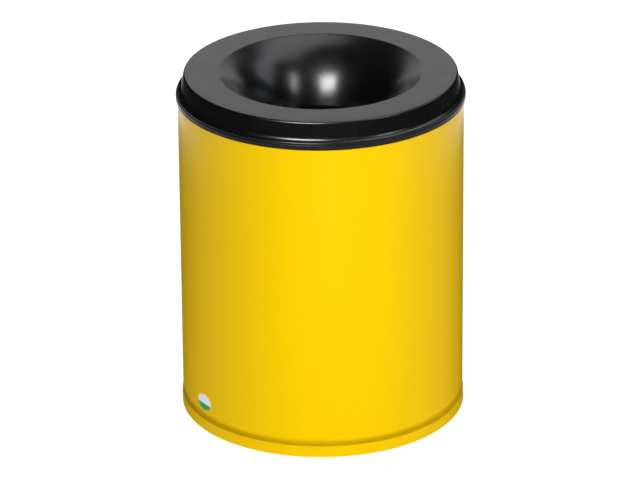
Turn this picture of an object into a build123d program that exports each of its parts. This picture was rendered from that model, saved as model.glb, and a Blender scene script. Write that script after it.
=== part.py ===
from build123d import *

import os
from math import asin, cos, degrees, radians, sin

# Round self-extinguishing waste can: a yellow sheet-steel can, a black spun head with a funnel
# mouth that lifts off, and a galvanised liner with two drop handles inside.
#
# Millimetres, +Z up. The origin is the centre of the circle that the can stands on, and -Y is
# the front.

# --- Driving dimensions -------------------------------------------------------------------------
overall_height = 390.0
overall_diameter = 315.0
can_sheet = 0.8
head_sheet = 0.8
liner_sheet = 0.6
sliding_gap = 0.4  # between the can's wall and the head's lip, on the radius
lift_gap = 0.2  # under the liner, so that no two bodies share a face

# --- Can ----------------------------------------------------------------------------------------
hem_radius = overall_diameter / 2  # outside of the folded edge of the head
lip_radius = hem_radius - head_sheet
can_radius = lip_radius - head_sheet - sliding_gap
can_inner = can_radius - can_sheet
can_wall_bottom = 1.3

groove_low, groove_mid, groove_high = 14.2, 18.2, 22.2
groove_depth = 2.4
groove_fillets = [1.5, 2.2, 1.5]

rim_height = 366.6  # height of the rim wire's centre
rim_curl_radius = 2.6  # outside of the curled rim
rim_curl_turn = 280
rim_wire_radius = rim_curl_radius - can_sheet - 0.05
rim_circle = can_radius - rim_curl_radius

seam_width = 7.0
seam_fold = 1.6
seam_low, seam_high = 26.0, 358.0
seam_line_width = 0.5
seam_line_depth = 0.3

ring_sheet = 0.9
ring_radius = can_radius + ring_sheet
ring_height = 13.6
ring_inner_leg = 9.0
ring_fillet = 1.2

pan_top = 15.0
pan_step = 3.0
pan_step_radii = (112.0, 108.0)
pan_fillets = [2.5, 2.0, 2.0]

label_height = 34.0
label_size = (26.0, 18.0)
label_angle = -90.0 - 57.0  # 57 degrees left of the front
label_thickness = 0.2

# --- Head ---------------------------------------------------------------------------------------
throat_radius = 50.0
throat_bottom = 313.0
throat_curl_radius = 2.5
throat_curl_turn = 250
# Three arcs lead from the throat to the flat top: radius, and degrees turned.
neck_radius, neck_turn = 12.0, 23.0
funnel_radius, funnel_turn = 112.0, 44.0
mouth_radius, mouth_turn = 5.0, 23.0
funnel_start = (
    overall_height
    - neck_radius * sin(radians(neck_turn))
    - funnel_radius * (cos(radians(mouth_turn)) - sin(radians(neck_turn)))
    - mouth_radius * (1 - cos(radians(mouth_turn)))
)
top_edge_radius = 148.6
skirt_waist = (152.2, 371.4)
lip_top = 368.9
lip_bottom = 361.2
hem_top = 366.7
skirt_fillets = [2.8, 7.0, 1.3]
hem_fillet = 0.75

spring_angles = (90, 210, 330)
spring_sheet = 0.6
spring_width = 16.0
spring_foot = 126.0
spring_contact = rim_circle - rim_curl_radius - 0.6
spring_fillets = [2.5, 6.0]

# --- Liner --------------------------------------------------------------------------------------
liner_radius = 145.5
liner_inner = liner_radius - liner_sheet
liner_bottom = pan_top + lift_gap
liner_curl_inside = 1.5
liner_rim_height = 347.9  # height of the liner's rim wire
liner_curl_turn = 270
liner_hem_height = 5.8
liner_hem_fillet = 0.8
liner_base_top = liner_bottom + 8.8
liner_base_step = 2.5
liner_step_radii = (100.0, 96.0)

# --- Drop handles -------------------------------------------------------------------------------
handle_x = 126.0
handle_z = 330.0
handle_wire = 2.0  # radius
handle_leg = 42.0  # half the distance between the legs
handle_drop = 40.0
handle_bend = 6.0
handle_end = 62.5
eye_near, eye_far = 49.0, 61.0
eye_radius = 4.0
eye_bore = handle_wire + 0.08
ear_sheet = 1.2
ear_above, ear_below = 6.0, 24.0
ear_y = (eye_near + eye_far) / 2
ear_width = 15.0
rivet_radius = 1.6
rivet_head = 3.2
rivet_head_height = 1.3
rivet_drops = (10.0, 18.0)  # below the hinge line
rivet_seat_gap = 0.04  # a flat head against a curved wall
rivet_angle = degrees(asin(ear_y / liner_inner))

sides = {"right": 1, "left": -1}
ends = {"front": -1, "back": 1}


def radial_plane(angle):
    """The upright plane through the can's axis whose x direction points out at angle."""
    out = (cos(radians(angle)), sin(radians(angle)), 0)
    return Plane(origin=(0, 0, 0), x_dir=out, z_dir=(out[1], -out[0], 0))


def facing_plane(angle, distance, height):
    """A plane that faces outwards at angle, distance from the axis and height above the floor."""
    out = (cos(radians(angle)), sin(radians(angle)), 0)
    origin = (out[0] * distance, out[1] * distance, height)
    return Plane(origin=origin, x_dir=(-out[1], out[0], 0), z_dir=out)


def rivet_planes(side):
    """Facing planes on the axis of each rivet of one handle's ears, at the liner's inner wall."""
    middle = 0 if side > 0 else 180
    return [
        facing_plane(middle + end * rivet_angle, liner_inner, handle_z - drop)
        for end in ends.values()
        for drop in rivet_drops
    ]


def save(builder, name):
    """Labels a finished piece and writes it."""
    builder.part.label = name
    export_step(builder.part, f"parts/{name}.step")


os.makedirs("parts", exist_ok=True)


# ================================================================================================
# Can
# ================================================================================================

# The rolled wall: swaged groove above the base ring, edge curled inwards round a wire at the top,
# and a flattened lock seam down the back.
with BuildPart() as body_shell:
    with BuildSketch(Plane.XZ):
        with BuildLine():
            wall = FilletPolyline(
                (can_radius, can_wall_bottom),
                (can_radius, groove_low),
                (can_radius - groove_depth, groove_mid),
                (can_radius, groove_high),
                (can_radius, rim_height),
                radius=groove_fillets,
            )
            JernArc(wall @ 1, wall % 1, rim_curl_radius, rim_curl_turn)
            offset(amount=can_sheet, side=Side.LEFT)
        make_face()
    revolve(axis=Axis.Z)
    with BuildSketch(Plane.XY.offset(seam_low)):
        Circle(can_inner + can_sheet / 2)
        Circle(can_inner - seam_fold, mode=Mode.SUBTRACT)
        with Locations((0, can_radius)):
            Rectangle(seam_width, 6 * seam_fold, mode=Mode.INTERSECT)
    extrude(amount=seam_high - seam_low)
    with Locations((0, can_radius, (groove_high + seam_high) / 2)):
        Box(seam_line_width, 2 * seam_line_depth, seam_high - groove_high - 4, mode=Mode.SUBTRACT)
save(body_shell, "body_shell")

with BuildPart() as rim_wire:
    with Locations((0, 0, rim_height)):
        Torus(rim_circle, rim_wire_radius)
save(rim_wire, "rim_wire")

# The pressed bottom: flange down inside the wall, floor with a raised centre.
with BuildPart() as base_pan:
    with BuildSketch(Plane.XZ):
        with BuildLine():
            FilletPolyline(
                (can_inner, can_wall_bottom),
                (can_inner, pan_top),
                (pan_step_radii[0], pan_top),
                (pan_step_radii[1], pan_top + pan_step),
                (0, pan_top + pan_step),
                radius=pan_fillets,
            )
            offset(amount=can_sheet, side=Side.LEFT)
        make_face()
    revolve(axis=Axis.Z)
save(base_pan, "base_pan")

# The channel ring that holds wall and flange together and is what the can stands on.
with BuildPart() as base_ring:
    ring_inner = can_inner - can_sheet - ring_sheet
    with BuildSketch(Plane.XZ):
        with BuildLine():
            FilletPolyline(
                (ring_radius, ring_height),
                (ring_radius, 0),
                (ring_inner, 0),
                (ring_inner, ring_inner_leg),
                radius=ring_fillet,
            )
            offset(amount=ring_sheet, side=Side.RIGHT)
        make_face()
    revolve(axis=Axis.Z)
save(base_ring, "base_ring")

# An oval sticker near the foot of the can.
with BuildPart() as label:
    with BuildSketch(Plane.XY.offset(label_height - label_size[1])):
        Circle(can_radius + label_thickness)
        Circle(can_radius, mode=Mode.SUBTRACT)
    extrude(amount=2 * label_size[1])
    with BuildSketch(facing_plane(label_angle, can_radius - 5, label_height)):
        Ellipse(label_size[0] / 2, label_size[1] / 2)
    extrude(amount=10, mode=Mode.INTERSECT)
save(label, "label")

# ================================================================================================
# Head
# ================================================================================================

# One spinning: curled throat, funnel, flat top, flared skirt and a lip with a folded edge.
with BuildPart() as head_shell:
    with BuildSketch(Plane.XZ):
        with BuildLine():
            CenterArc(
                (throat_radius + throat_curl_radius, throat_bottom),
                throat_curl_radius,
                180,
                throat_curl_turn,
            )
            throat = Line((throat_radius, throat_bottom), (throat_radius, funnel_start))
            neck = JernArc(throat @ 1, throat % 1, neck_radius, -neck_turn)
            funnel = JernArc(neck @ 1, neck % 1, funnel_radius, -funnel_turn)
            mouth = JernArc(funnel @ 1, funnel % 1, mouth_radius, -mouth_turn)
            FilletPolyline(
                mouth @ 1,
                (top_edge_radius, overall_height),
                skirt_waist,
                (lip_radius, lip_top),
                (lip_radius, lip_bottom),
                radius=skirt_fillets,
            )
            offset(amount=head_sheet, side=Side.RIGHT)
        make_face()
        with Locations((lip_radius, (lip_bottom + hem_top) / 2)):
            Rectangle(head_sheet, hem_top - lip_bottom, align=(Align.MIN, Align.CENTER))
    revolve(axis=Axis.Z)
    hem_edges = head_shell.edges().filter_by_position(
        Axis.Z, lip_bottom - 0.01, lip_bottom + 0.01
    )
    fillet(hem_edges.group_by(SortBy.RADIUS)[-1], hem_fillet)
save(head_shell, "head_shell")

# Three leaf springs under the top that bear on the inside of the can's rim.
for number, angle in enumerate(spring_angles, 1):
    with BuildPart() as spring:
        under_top = overall_height - head_sheet
        with BuildSketch(radial_plane(angle)):
            with BuildLine():
                FilletPolyline(
                    (spring_foot, under_top),
                    (spring_contact - 4.0, under_top),
                    (spring_contact, rim_height),
                    (spring_contact - 3.0, rim_height - 8.0),
                    radius=spring_fillets,
                )
                offset(amount=spring_sheet, side=Side.RIGHT)
            make_face()
        extrude(amount=spring_width / 2, both=True)
    save(spring, f"retaining_spring_{number}")

# ================================================================================================
# Liner
# ================================================================================================

# The galvanised wall: folded round the base's flange below, curled out round a wire above.
with BuildPart() as liner_shell:
    hem_inside = liner_radius - 3 * liner_sheet
    with BuildSketch(Plane.XZ):
        with BuildLine():
            liner_wall = FilletPolyline(
                (hem_inside, liner_bottom + liner_hem_height),
                (hem_inside, liner_bottom),
                (liner_radius, liner_bottom),
                (liner_radius, liner_rim_height),
                radius=liner_hem_fillet,
            )
            JernArc(liner_wall @ 1, liner_wall % 1, liner_curl_inside, -liner_curl_turn)
            offset(amount=liner_sheet, side=Side.LEFT)
        make_face()
    revolve(axis=Axis.Z)
    for side in sides.values():
        for plane in rivet_planes(side):
            with BuildSketch(plane.offset(-5)):
                Circle(rivet_radius)
            extrude(amount=10, mode=Mode.SUBTRACT)
save(liner_shell, "liner_shell")

with BuildPart() as liner_base:
    with BuildSketch(Plane.XZ):
        with BuildLine():
            FilletPolyline(
                (liner_inner, liner_bottom + 1.0),
                (liner_inner, liner_base_top),
                (liner_step_radii[0], liner_base_top),
                (liner_step_radii[1], liner_base_top + liner_base_step),
                (0, liner_base_top + liner_base_step),
                radius=[1.5, 2.0, 2.0],
            )
            offset(amount=liner_sheet, side=Side.LEFT)
        make_face()
    revolve(axis=Axis.Z)
save(liner_base, "liner_base")

with BuildPart() as liner_rim_wire:
    with Locations((0, 0, liner_rim_height)):
        Torus(liner_radius + liner_curl_inside, liner_curl_inside - 0.05)
save(liner_rim_wire, "liner_rim_wire")

# Four ears: a curved plate on the wall with an eye that carries the end of a handle.
for side_name, side in sides.items():
    for end_name, end in ends.items():
        with BuildPart() as ear:
            reach = liner_inner + 5 - handle_x
            with BuildSketch(Plane.XZ.offset(-end * ear_y)):
                with Locations((side * handle_x, handle_z)):
                    Circle(eye_radius)
                with Locations((side * (handle_x + reach / 2), handle_z)):
                    Rectangle(reach, 2 * eye_radius)
            extrude(amount=(eye_far - eye_near) / 2, both=True)
            with BuildSketch(Plane.XY.offset(handle_z - 2 * eye_radius)):
                Circle(liner_inner)
            extrude(amount=4 * eye_radius, mode=Mode.INTERSECT)
            with BuildSketch(Plane.XY.offset(handle_z - ear_below)):
                Circle(liner_inner)
                Circle(liner_inner - ear_sheet, mode=Mode.SUBTRACT)
                with Locations((side * liner_inner, end * ear_y)):
                    Rectangle(2 * ear_y, ear_width, mode=Mode.INTERSECT)
            extrude(amount=ear_above + ear_below)
            with BuildSketch(Plane.XZ.offset(-end * ear_y)):
                with Locations((side * handle_x, handle_z)):
                    Circle(eye_bore)
            extrude(amount=ear_width, both=True, mode=Mode.SUBTRACT)
            for plane in rivet_planes(side):
                with BuildSketch(plane.offset(-5)):
                    Circle(rivet_radius)
                extrude(amount=10, mode=Mode.SUBTRACT)
        save(ear, f"ear_{side_name}_{end_name}")

# Two solid rivets hold each ear: round heads inside, low heads outside.
for side_name, side in sides.items():
    with BuildPart() as rivets:
        for plane in rivet_planes(side):
            inner_seat = -ear_sheet - rivet_seat_gap
            outer_seat = liner_sheet + rivet_seat_gap
            with BuildSketch(plane.offset(inner_seat - rivet_head_height)):
                Circle(rivet_head)
            extrude(amount=rivet_head_height)
            with BuildSketch(plane.offset(inner_seat)):
                Circle(rivet_radius - 0.02)
            extrude(amount=outer_seat - inner_seat)
            with BuildSketch(plane.offset(outer_seat)):
                Circle(rivet_head)
            extrude(amount=rivet_head_height / 2)
    save(rivets, f"ear_rivets_{side_name}")

# Two wire handles hanging from the ears.
for side_name, side in sides.items():
    with BuildPart() as handle:
        with BuildLine(Plane.YZ.offset(side * handle_x)) as handle_path:
            FilletPolyline(
                (-handle_end, handle_z),
                (-handle_leg, handle_z),
                (-handle_leg, handle_z - handle_drop),
                (handle_leg, handle_z - handle_drop),
                (handle_leg, handle_z),
                (handle_end, handle_z),
                radius=handle_bend,
            )
        with BuildSketch(Plane.XZ.offset(handle_end)):
            with Locations((side * handle_x, handle_z)):
                Circle(handle_wire)
        sweep(path=handle_path.line)
    save(handle, f"handle_{side_name}")
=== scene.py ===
from math import cos, pi, radians, sin, tan

import bmesh
import bpy
from mathutils import Matrix, Vector


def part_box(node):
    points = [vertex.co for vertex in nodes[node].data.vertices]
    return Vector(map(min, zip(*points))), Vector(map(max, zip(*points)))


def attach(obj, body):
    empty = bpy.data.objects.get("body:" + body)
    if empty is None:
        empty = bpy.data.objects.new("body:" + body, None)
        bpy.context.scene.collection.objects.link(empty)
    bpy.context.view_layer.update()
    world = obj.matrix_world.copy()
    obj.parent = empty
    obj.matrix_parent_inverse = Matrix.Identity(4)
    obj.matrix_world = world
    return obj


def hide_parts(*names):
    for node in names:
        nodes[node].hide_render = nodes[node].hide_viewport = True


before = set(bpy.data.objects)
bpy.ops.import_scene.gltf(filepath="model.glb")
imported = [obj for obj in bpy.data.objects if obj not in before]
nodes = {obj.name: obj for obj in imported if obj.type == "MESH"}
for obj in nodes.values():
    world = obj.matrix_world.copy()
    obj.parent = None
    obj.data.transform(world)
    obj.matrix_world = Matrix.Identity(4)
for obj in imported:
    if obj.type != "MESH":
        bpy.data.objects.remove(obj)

# Round self-extinguishing waste can: yellow can, black lift-off funnel head, galvanised liner.
# Everything is in metres, in the frame of the CAD model: +Z up, -Y towards the front. Only the
# head's section is in millimetres.

MM = 0.001

scene = bpy.context.scene
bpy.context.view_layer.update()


# ================================================================================================
# Materials
# ================================================================================================
class Surface:
    """A Principled material and the few node chains that the finishes below share."""

    def __init__(self, name, color, roughness, **values):
        self.material = bpy.data.materials.new(name)
        self.material.use_nodes = True
        self.tree = self.material.node_tree
        self.shader = self.tree.nodes["Principled BSDF"]
        self.shader.inputs["Base Color"].default_value = (*color, 1)
        self.shader.inputs["Roughness"].default_value = roughness
        for socket, value in values.items():
            self.shader.inputs[socket.replace("_", " ")].default_value = value
        self.normal = None

    def node(self, kind, links=(), **values):
        """A new node: links maps its sockets to outputs, values sets sockets or properties."""
        made = self.tree.nodes.new(kind)
        for key, value in values.items():
            if hasattr(made, key):
                setattr(made, key, value)
            else:
                made.inputs[key.replace("_", " ")].default_value = value
        for socket, source in dict(links).items():
            self.tree.links.new(source, made.inputs[socket])
        return made

    def place(self, stretch=(1, 1, 1)):
        """Object coordinates, which are metres in the frame of the CAD, stretched per axis."""
        source = self.node("ShaderNodeTexCoord").outputs["Object"]
        return self.node("ShaderNodeMapping", {"Vector": source}, Scale=stretch).outputs[0]

    def noise(self, size, detail=2.0, stretch=(1, 1, 1)):
        """Noise whose features are about size metres across."""
        place = self.place(stretch)
        made = self.node("ShaderNodeTexNoise", {"Vector": place}, Scale=1 / size, Detail=detail)
        return made.outputs["Fac"]

    def spread(self, source, low_in, high_in, low_out, high_out):
        """Maps a range of source to a range of numbers."""
        return self.node(
            "ShaderNodeMapRange",
            {"Value": source},
            From_Min=low_in,
            From_Max=high_in,
            To_Min=low_out,
            To_Max=high_out,
        ).outputs[0]

    def blend(self, factor, first, second):
        """Mixes two colours, or colour outputs, by factor."""
        made = self.node("ShaderNodeMix", data_type="RGBA")
        self.tree.links.new(factor, made.inputs[0])
        for socket, value in ((made.inputs[6], first), (made.inputs[7], second)):
            if isinstance(value, tuple):
                socket.default_value = (*value, 1)
            else:
                self.tree.links.new(value, socket)
        return made.outputs[2]

    def product(self, first, second):
        """The product of two number outputs."""
        return self.node("ShaderNodeMath", {0: first, 1: second}, operation="MULTIPLY").outputs[0]

    def level(self):
        """Height above the floor, in metres."""
        return self.node("ShaderNodeSeparateXYZ", {"Vector": self.place()}).outputs["Z"]

    def color(self, output):
        """Takes the base colour from output."""
        self.tree.links.new(output, self.shader.inputs["Base Color"])

    def rough(self, output):
        """Takes the roughness from output."""
        self.tree.links.new(output, self.shader.inputs["Roughness"])

    def glow(self, color, strength):
        """Makes the surface give off a little light of its own."""
        self.shader.inputs["Emission Color"].default_value = (*color, 1)
        self.shader.inputs["Emission Strength"].default_value = strength

    def bump(self, height, depth):
        """Adds relief of about depth metres on top of any relief already there."""
        links = {"Height": height}
        if self.normal is not None:
            links["Normal"] = self.normal
        made = self.node("ShaderNodeBump", links, Strength=1.0, Distance=depth)
        self.normal = made.outputs[0]
        self.tree.links.new(self.normal, self.shader.inputs["Normal"])


def powder_coat(name, color, worn, roughness, peel):
    """Powder coat: fine orange peel, slow drift of gloss, and a faint drift of colour."""
    drift_size, gloss_size, peel_size, grain_size = 0.12, 0.03, 0.0022, 0.0006
    made = Surface(name, color, roughness)
    drift = made.noise(drift_size, detail=3)
    made.color(made.blend(made.spread(drift, 0.35, 0.65, 0, 1), color, worn))
    gloss = made.noise(gloss_size, detail=4)
    made.rough(made.spread(gloss, 0.3, 0.7, roughness - 0.02, roughness + 0.03))
    made.bump(made.noise(peel_size, detail=1), peel)
    made.bump(made.noise(grain_size, detail=2), peel / 6)
    return made


def yellow_powder_coat():
    """The can's paint, with painted shade, uneven along its length, in the groove above the base
    ring.
    """
    made = powder_coat(
        "yellow_powder_coat", (0.95, 0.605, 0.0), (0.945, 0.598, 0.0), roughness=0.24, peel=0.000008
    )
    made.shader.inputs["Specular Tint"].default_value = (1.0, 0.74, 0.05, 1)
    # Painted shade: a dark band on the wall from the base ring's top edge to about 6 mm above it,
    # where the groove lies.
    ring_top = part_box("base_ring")[1].z
    level = made.level()
    rise = made.spread(level, ring_top - 0.0004, ring_top + 0.0006, 0, 1)
    fall = made.spread(level, ring_top + 0.0012, ring_top + 0.0065, 1, 0)
    patchy = made.spread(made.noise(0.03, detail=4), 0.3, 0.7, 0.75, 1.0)
    groove_shade = made.product(made.product(rise, fall), patchy)
    clean = made.shader.inputs["Base Color"].links[0].from_socket
    made.color(made.blend(groove_shade, clean, (0.56, 0.34, 0.0)))
    return made


def black_powder_coat():
    """The head's paint. The head is spun, which leaves faint rings under the paint."""
    made = powder_coat(
        "black_powder_coat",
        (0.0045, 0.0045, 0.0048),
        (0.006, 0.006, 0.0063),
        roughness=0.25,
        peel=0.000006,
    )
    rings = made.node(
        "ShaderNodeTexWave",
        {"Vector": made.place()},
        wave_type="RINGS",
        rings_direction="Z",
        Scale=150.0,
        Distortion=1.5,
        Detail=2.0,
        Detail_Scale=0.4,
    )
    made.bump(rings.outputs["Fac"], 0.0000015)
    return made


def galvanised_spangle():
    """Hot-dip zinc: crystals about 9 mm across, each lighter or darker and flatter or rougher."""
    made = Surface("galvanised_spangle", (0.62, 0.65, 0.68), roughness=0.4, Metallic=0.6)
    warp = made.noise(0.008, detail=2)
    place = made.node("ShaderNodeVectorMath", {0: made.place(), 1: warp}, operation="ADD")
    crystals = made.node("ShaderNodeTexVoronoi", {"Vector": place.outputs[0]}, Scale=110.0)
    tone = made.node("ShaderNodeSeparateColor", {"Color": crystals.outputs["Color"]})
    made.color(made.blend(tone.outputs[0], (0.44, 0.47, 0.5), (0.78, 0.81, 0.84)))
    made.rough(made.spread(tone.outputs[1], 0, 1, 0.3, 0.55))
    made.bump(tone.outputs[2], 0.00002)
    made.bump(made.noise(0.0015, detail=3), 0.00001)
    return made


def bare_metal(name, color, dull, roughness, grain, stretch):
    """Plated or rolled steel: fine grain along one direction and patches that have dulled."""
    made = Surface(name, color, roughness, Metallic=0.75)
    patches = made.noise(0.009, detail=5)
    made.color(made.blend(made.spread(patches, 0.35, 0.7, 0, 1), color, dull))
    lines = made.noise(grain, detail=3, stretch=stretch)
    made.rough(made.spread(lines, 0.25, 0.75, roughness - 0.08, roughness + 0.1))
    made.bump(lines, 0.00004)
    return made


def label_film():
    """The sticker: white film with a green lower field, and a faint painted glow that brightens it.
    """
    low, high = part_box("label")
    field_share, edge_blur = 0.4, 0.0004
    field_edge = low.z + field_share * (high.z - low.z)
    made = Surface("label_film", (0.88, 0.9, 0.89), roughness=0.3)
    green = made.spread(made.level(), field_edge + edge_blur, field_edge - edge_blur, 0, 1)
    paper = made.blend(made.noise(0.004, detail=3), (0.92, 0.95, 0.94), (0.97, 0.98, 0.98))
    made.color(made.blend(green, paper, (0.005, 0.4, 0.15)))
    # Painted light: the film gives off a faint greenish-white glow so that the sticker looks
    # brighter.
    made.glow((0.8, 1.0, 0.9), 0.03)
    made.bump(made.noise(0.003, detail=1), 0.000006)
    return made


black = black_powder_coat()
steel_wire = bare_metal(
    "steel_wire", (0.55, 0.55, 0.56), (0.42, 0.42, 0.43), 0.33, grain=0.001, stretch=(1, 1, 6)
)
spring_steel = bare_metal(
    "spring_steel", (0.42, 0.43, 0.46), (0.3, 0.31, 0.34), 0.3, grain=0.0008, stretch=(1, 1, 8)
)
zinc_plate = bare_metal(
    "zinc_plate", (0.66, 0.67, 0.68), (0.56, 0.58, 0.6), 0.34, grain=0.0012, stretch=(1, 1, 12)
)
zinc_wire = bare_metal(
    "zinc_wire", (0.7, 0.71, 0.72), (0.6, 0.61, 0.63), 0.27, grain=0.0011, stretch=(14, 1, 14)
)
rivet_steel = bare_metal(
    "rivet_steel", (0.62, 0.63, 0.64), (0.52, 0.53, 0.55), 0.36, grain=0.0009, stretch=(1, 1, 1)
)

finishes = {
    yellow_powder_coat(): ["body_shell", "base_ring", "base_pan"],
    black: ["head_shell"],
    label_film(): ["label"],
    steel_wire: ["rim_wire", "liner_rim_wire"],
    spring_steel: [f"retaining_spring_{number}" for number in (1, 2, 3)],
    galvanised_spangle(): ["liner_shell", "liner_base"],
    zinc_plate: [f"ear_{side}_{end}" for side in ("right", "left") for end in ("front", "back")],
    rivet_steel: ["ear_rivets_right", "ear_rivets_left"],
    zinc_wire: ["handle_right", "handle_left"],
}
for surface, names in finishes.items():
    for name in names:
        nodes[name].data.materials[0] = surface.material


# ================================================================================================
# Head, whose highlights need a finer mesh than the CAD node's
# ================================================================================================
head_sheet = 0.8
lip_bottom_drop, hem_top_drop, lip_top_drop = 28.8, 23.3, 21.1  # below the flat top
throat_radius = 50.0
curl_radius, curl_turn, curl_steps = 2.5, 250, 24
upright = 180.0  # direction from an arc's centre to where the funnel's face stands upright
# The funnel turns outwards in three arcs: radius, degrees turned, and steps.
funnel_arcs = [(12.0, 23.0, 8), (112.0, 44.0, 44), (5.0, 23.0, 8)]
plate_steps = (1.5, 6, 14, 24)  # points on the flat top, out from the funnel's edge
top_edge_radius = 148.6
waist_radius, waist_drop = 152.2, 18.6
skirt_fillets = [2.8, 7.0, 1.3]
hem_fillets = [0.5, 0.75]


def arc(centre, radius, start, end, steps):
    """Points along an arc, from one angle to another in degrees."""
    angles = [radians(start + (end - start) * k / steps) for k in range(steps + 1)]
    return [(centre[0] + radius * cos(a), centre[1] + radius * sin(a)) for a in angles]


def rounded(corners, radii, steps=10):
    """A polyline whose inner corners are replaced by arcs."""
    points = [corners[0]]
    for before, corner, after, radius in zip(corners, corners[1:], corners[2:], radii):
        corner = Vector(corner)
        back_way = (Vector(before) - corner).normalized()
        on_way = (Vector(after) - corner).normalized()
        half = back_way.angle(on_way) / 2
        centre = corner + (back_way + on_way).normalized() * radius / sin(half)
        first = corner + back_way * radius / tan(half) - centre
        last = corner + on_way * radius / tan(half) - centre
        sweep = first.angle_signed(last)
        for k in range(steps + 1):
            spoke = first.copy()
            spoke.rotate(Matrix.Rotation(-sweep * k / steps, 2))
            points.append(tuple(centre + spoke))
    return points + [corners[-1]]


def beside(path, gap):
    """The path moved by gap to the right of its direction of travel."""
    headings = [(Vector(b) - Vector(a)).normalized() for a, b in zip(path, path[1:])]
    moved = []
    for k, point in enumerate(path):
        heading = headings[max(0, k - 1)] + headings[min(k, len(headings) - 1)]
        heading.normalize()
        moved.append((point[0] + gap * heading.y, point[1] - gap * heading.x))
    return moved


def funnel_line(top):
    """The funnel's face, from the top of the throat to the edge of the flat top."""
    tilt = upright
    drop = 0.0
    for radius, turn, _ in funnel_arcs:
        drop += radius * (sin(radians(tilt - turn)) - sin(radians(tilt)))
        tilt -= turn
    points = [(throat_radius, top - drop)]
    tilt = upright
    for radius, turn, steps in funnel_arcs:
        x, z = points[-1]
        centre = (x - radius * cos(radians(tilt)), z - radius * sin(radians(tilt)))
        points += arc(centre, radius, tilt, tilt - turn, steps)[1:]
        tilt -= turn
    return points


def head_section():
    """The head's closed section: curl, funnel, flat top, skirt, folded edge and underside."""
    head_low, head_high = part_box("head_shell")
    top = head_high.z / MM
    hem_radius = head_high.x / MM
    lip_radius = hem_radius - head_sheet
    lip_bottom, hem_top, lip_top = top - lip_bottom_drop, top - hem_top_drop, top - lip_top_drop
    curl_centre = (throat_radius + curl_radius, head_low.z / MM + curl_radius)
    curl = arc(curl_centre, curl_radius, 180 + curl_turn, 180, curl_steps)
    funnel = funnel_line(top)
    plate = [(funnel[-1][0] + step, top) for step in plate_steps]
    skirt_corners = [
        (plate[-1][0], top),
        (top_edge_radius, top),
        (waist_radius, top - waist_drop),
        (lip_radius, lip_top),
        (lip_radius, hem_top),
    ]
    face = curl + funnel + plate[:-1] + rounded(skirt_corners, skirt_fillets)
    underside = beside(face[:-1] + [(lip_radius, lip_bottom)], head_sheet)
    hem_corners = [
        (lip_radius, hem_top),
        (hem_radius, hem_top),
        (hem_radius, lip_bottom),
        (lip_radius - head_sheet, lip_bottom),
    ]
    return face[:-1] + rounded(hem_corners, hem_fillets, steps=6)[:-1] + underside[::-1]


def revolve(name, section, material, body, replaced, columns=320, crease=32):
    """A closed section in millimetres turned about the can's axis, as a piece on a body."""
    count = len(section)
    points, faces = [], []
    for k in range(columns):
        a = 2 * pi * k / columns
        points += [(r * MM * cos(a), r * MM * sin(a), z * MM) for r, z in section]
        here, there = k * count, (k + 1) % columns * count
        faces += [
            (here + i, there + i, there + (i + 1) % count, here + (i + 1) % count)
            for i in range(count)
        ]
    mesh = bpy.data.meshes.new(name)
    mesh.from_pydata(points, [], faces)
    mesh.materials.append(material)
    mesh.polygons.foreach_set("use_smooth", [True] * len(faces))
    made = bmesh.new()
    made.from_mesh(mesh)
    bmesh.ops.recalc_face_normals(made, faces=made.faces)
    made.to_mesh(mesh)
    made.free()
    mesh.set_sharp_from_angle(angle=radians(crease))
    piece = bpy.data.objects.new(name, mesh)
    scene.collection.objects.link(piece)
    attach(piece, body)
    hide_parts(replaced)


revolve("head_spinning", head_section(), black.material, "head", "head_shell")


# ================================================================================================
# Floor
# ================================================================================================
floor_steps = 96
floor_radius = 1.5
card_radii = (0.88, 1.15)
card_height = 0.001


def circle(radius, height):
    """Points of a level circle round the can's axis."""
    angles = [2 * pi * k / floor_steps for k in range(floor_steps)]
    return [(radius * cos(a), radius * sin(a), height) for a in angles]


def panel(name, points, faces, shade, glow):
    """A matt white or grey piece that also glows."""
    finish = Surface(name, (shade, shade, shade), roughness=0.7)
    finish.glow((1, 1, 1), glow)
    mesh = bpy.data.meshes.new(name)
    mesh.from_pydata(points, [], faces)
    mesh.materials.append(finish.material)
    made = bpy.data.objects.new(name, mesh)
    scene.collection.objects.link(made)
    return made


floor = panel("floor", circle(floor_radius, 0), [list(range(floor_steps))], shade=0.4, glow=0.85)
floor.visible_glossy = False

# A pale ring on the floor, seen only in gloss: it is what the head's folded edge reflects.
card = panel(
    "floor_card",
    circle(card_radii[0], card_height) + circle(card_radii[1], card_height),
    [
        (k, (k + 1) % floor_steps, floor_steps + (k + 1) % floor_steps, floor_steps + k)
        for k in range(floor_steps)
    ],
    shade=0.8,
    glow=0.8,
)
card.visible_camera = False
card.visible_diffuse = False
card.visible_shadow = False


# ================================================================================================
# Light
# ================================================================================================
def softbox(name, direction, distance, size, radiance, color=(1, 1, 1), at=0.3, only=None):
    """A rectangular light that faces the can's axis at height at from direction and is as bright
    as radiance. only="gloss" or "diffuse" keeps it out of the other kind of reflection."""
    light = bpy.data.lights.new(name, "AREA")
    light.shape = "RECTANGLE"
    light.size, light.size_y = size
    light.energy = radiance * pi * size[0] * size[1]
    light.color = color
    lamp = bpy.data.objects.new(name, light)
    scene.collection.objects.link(lamp)
    towards = Vector(direction).normalized()
    lamp.location = Vector((0, 0, at)) + towards * distance
    lamp.rotation_euler = (-towards).to_track_quat("-Z", "Y").to_euler()
    lamp.visible_camera = False
    lamp.visible_glossy = only != "diffuse"
    lamp.visible_diffuse = only != "gloss"


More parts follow.
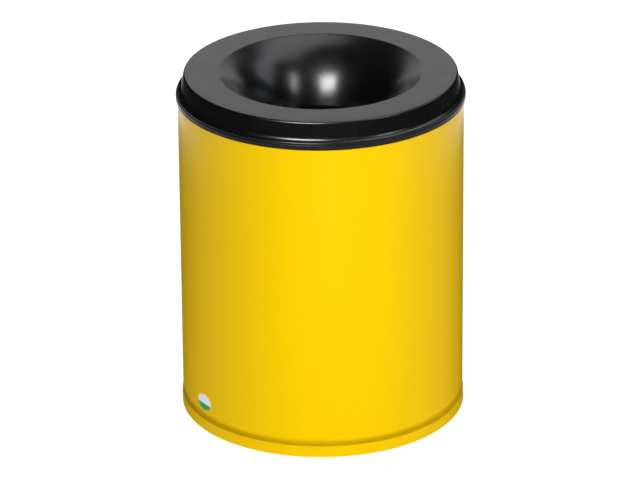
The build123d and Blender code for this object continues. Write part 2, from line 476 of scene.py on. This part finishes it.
# The gloss lights make the highlights of the head, and the diffuse lights shade the yellow wall.
softbox("main", (-0.197, -0.619, 0.76), 2.5, (1.0, 0.75), 29.0, only="gloss")
softbox("right", (0.623, -0.309, 0.719), 2.5, (0.4, 0.8), 10.0, only="gloss")
softbox("right_back", (0.64, 0.36, 0.68), 2.5, (0.8, 1.0), 2.0, (0.8, 0.88, 1.0), only="gloss")
softbox("top", (0.2, 0.3, 0.95), 2.0, (1.3, 1.0), 2.2)
softbox("back", (0, 0.905, 0.425), 3.0, (2.6, 1.5), 0.9)
softbox("fill", (0.5, -0.75, 0.45), 2.6, (2.0, 2.0), 0.45, only="diffuse")
softbox("strip", (0.105, -0.995, 0.05), 0.62, (0.15, 1.0), 4.6, at=0.27, only="diffuse")
softbox("rear_right", (0.85, 0.45, 0.3), 2.6, (1.6, 1.6), 0.75, only="diffuse")
softbox("rear_left", (-0.8, 0.55, 0.3), 2.6, (1.6, 1.6), 0.75, only="diffuse")

# The surroundings are nearly black in gloss, dim in diffuse light and white to the camera.
gloss_level, diffuse_level, camera_level = 0.008, 0.22, 1.0
world = bpy.data.worlds.new("studio")
scene.world = world
world.use_nodes = True
tree = world.node_tree
seen = tree.nodes.new("ShaderNodeLightPath")
shades = [tree.nodes["Background"]] + [tree.nodes.new("ShaderNodeBackground") for _ in range(2)]
for shade, level in zip(shades, (gloss_level, diffuse_level, camera_level)):
    shade.inputs["Color"].default_value = (level, level, level, 1)
behind = shades[0]
for ray, shade in (("Is Diffuse Ray", shades[1]), ("Is Camera Ray", shades[2])):
    either = tree.nodes.new("ShaderNodeMixShader")
    tree.links.new(seen.outputs[ray], either.inputs[0])
    tree.links.new(behind.outputs[0], either.inputs[1])
    tree.links.new(shade.outputs[0], either.inputs[2])
    behind = either
tree.links.new(behind.outputs[0], tree.nodes["World Output"].inputs[0])


# ================================================================================================
# Camera
# ================================================================================================
# The photograph looks down on the can from a little under 24 degrees, through a long lens.
sensor_width = 36.0  # mm
lens = 264.526875  # mm
camera_distance = 5.178
camera_elevation = radians(23.65)
camera_roll = radians(-0.44)
aim = Vector((0, 0, 0.186))
slide_right, slide_up = -0.00203698, 0.00336927  # puts the aim where the photograph has it

camera_data = bpy.data.cameras.new("camera")
camera = bpy.data.objects.new("camera", camera_data)
scene.collection.objects.link(camera)
scene.camera = camera
camera_data.sensor_width = sensor_width
camera_data.lens = lens
camera_data.clip_end = 50
right = Vector((1, 0, 0))
up = Vector((0, sin(camera_elevation), cos(camera_elevation)))
back = Vector((0, -cos(camera_elevation), sin(camera_elevation)))
camera.location = aim + back * camera_distance + right * slide_right + up * slide_up
turned = Matrix((right, up, back)).transposed() @ Matrix.Rotation(camera_roll, 3, "Z")
camera.rotation_euler = turned.to_euler()

scene.view_settings.view_transform = "Standard"
